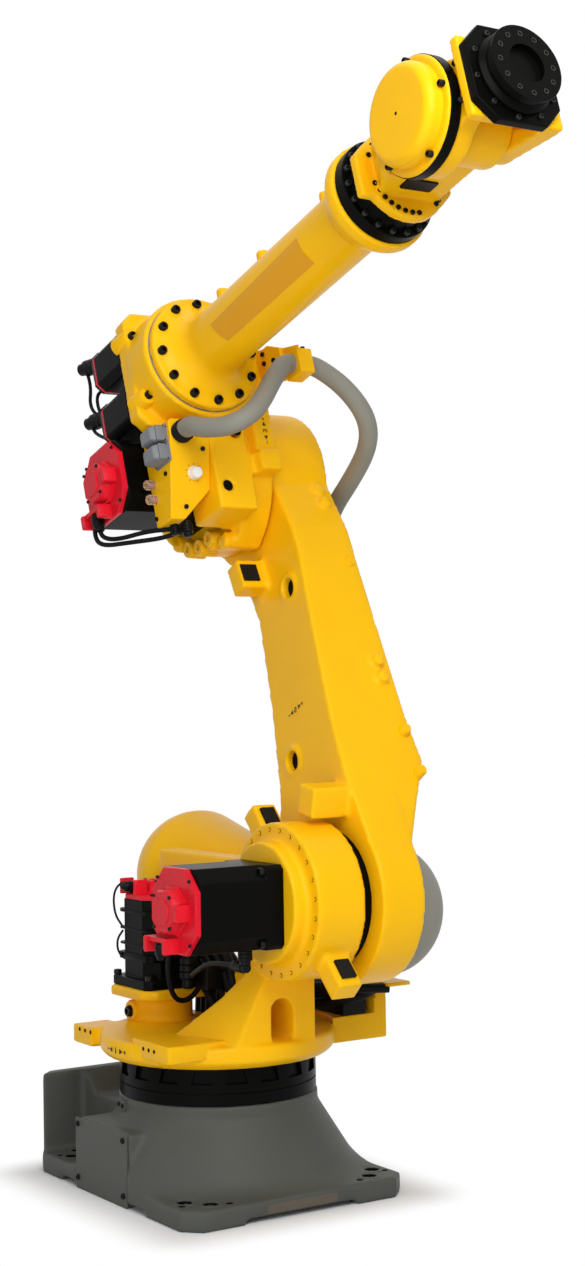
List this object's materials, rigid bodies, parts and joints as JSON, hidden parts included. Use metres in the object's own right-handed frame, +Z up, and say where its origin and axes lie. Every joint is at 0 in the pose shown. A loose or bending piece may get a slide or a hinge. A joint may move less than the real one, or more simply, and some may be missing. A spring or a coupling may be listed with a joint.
{
  "type": "industrial robot arm",
  "caption": "Floor-standing articulated factory robot: flared base, turning turret, leaning lower arm, elbow casing with drive motors, tapered forearm and a bending wrist with a tool flange.",
  "frame": {"origin": "on the floor under the base axis, in the plane of the foot", "axes": "+X to the robot's front, +Y to the side that carries the lower arm, +Z up along the base axis"},
  "size_m": [1.7636, 0.752, 2.3586],
  "materials": {
    "yellow_paint": "glossy yellow paint on cast metal",
    "grey_paint": "satin olive-grey paint on cast iron",
    "black_paint": "semi-gloss black paint",
    "red_plastic": "glossy moulded red",
    "black_rubber": "matt rubber",
    "black_plastic": "matt moulded black",
    "grey_jacket": "smooth grey hose jacket",
    "grey_connector": "powder-coated grey die-cast",
    "white_plastic": "white moulded plastic",
    "clear_plastic": "clear caps over brass fittings"
  },
  "bodies": {
    "base": {"base_casting": "grey_paint", "base_side_cover": "grey_paint", "j1_reducer_ring": "black_paint"},
    "turret": {"turret_casting": "yellow_paint", "j1_motor": "black_paint", "j1_motor_cap": "red_plastic", "j2_motor": "black_paint", "j2_motor_cap": "red_plastic", "j2_reducer": "black_paint", "balancer_housing": "yellow_paint", "turret_stop_pads": "black_rubber", "turret_side_bracket": "yellow_paint"},
    "lower_arm": {"lower_arm_casting": "yellow_paint", "arm_stop_pads": "black_rubber", "cable_cover": "grey_jacket", "hose_anchor": "black_plastic"},
    "elbow": {"elbow_casting": "yellow_paint", "j3_motor": "black_paint", "j3_motor_cap": "red_plastic", "j3_reducer": "black_paint", "wrist_drive_motors": "black_paint", "wrist_drive_caps": "red_plastic", "wrist_drive_plugs": "black_plastic", "junction_box": "yellow_paint", "box_connectors": "grey_connector", "box_knob": "white_plastic", "air_fittings": "clear_plastic", "hose_sleeve": "black_rubber", "hose_run": "grey_jacket", "hose_bracket": "yellow_paint", "hose_clamp": "yellow_paint", "hose_loop": "grey_jacket"},
    "forearm": {"forearm_tube": "yellow_paint", "wrist_ring": "black_paint", "wrist_housing": "yellow_paint", "drum_reducer": "black_paint", "drum_cover": "yellow_paint"},
    "hand": {"hand_fork": "yellow_paint", "hand_plate": "black_paint"},
    "tool": {"tool_flange": "black_paint"}
  },
  "joints": [
    {"name": "j1_base", "type": "hinge", "parent": "base", "child": "turret", "pos_m": [0, 0, 0.305], "axis": [0, 0, 1], "range_deg": [-185, 185]},
    {"name": "j2_shoulder", "type": "hinge", "parent": "turret", "child": "lower_arm", "pos_m": [0.312, 0, 0.67], "axis": [0, 1, 0], "range_deg": [-31.7, 104.3]},
    {"name": "j3_elbow", "type": "hinge", "parent": "lower_arm", "child": "elbow", "pos_m": [-0.19764, 0, 1.61651], "axis": [0, -1, 0], "range_deg": [-45, 131], "deforming": ["hose_loop"]},
    {"name": "j4_forearm", "type": "hinge", "parent": "elbow", "child": "forearm", "pos_m": [-0.26455, 0, 1.83133], "axis": [0.9548, 0, 0.2974], "range_deg": [-360, 360]},
    {"name": "j5_wrist", "type": "hinge", "parent": "forearm", "child": "hand", "pos_m": [0.95754, 0, 2.21197], "axis": [0, 1, 0], "range_deg": [-125, 125]},
    {"name": "j6_tool", "type": "hinge", "parent": "hand", "child": "tool", "pos_m": [1.16281, 0, 2.27591], "axis": [0.9548, 0, 0.2974], "range_deg": [-360, 360]}
  ]
}
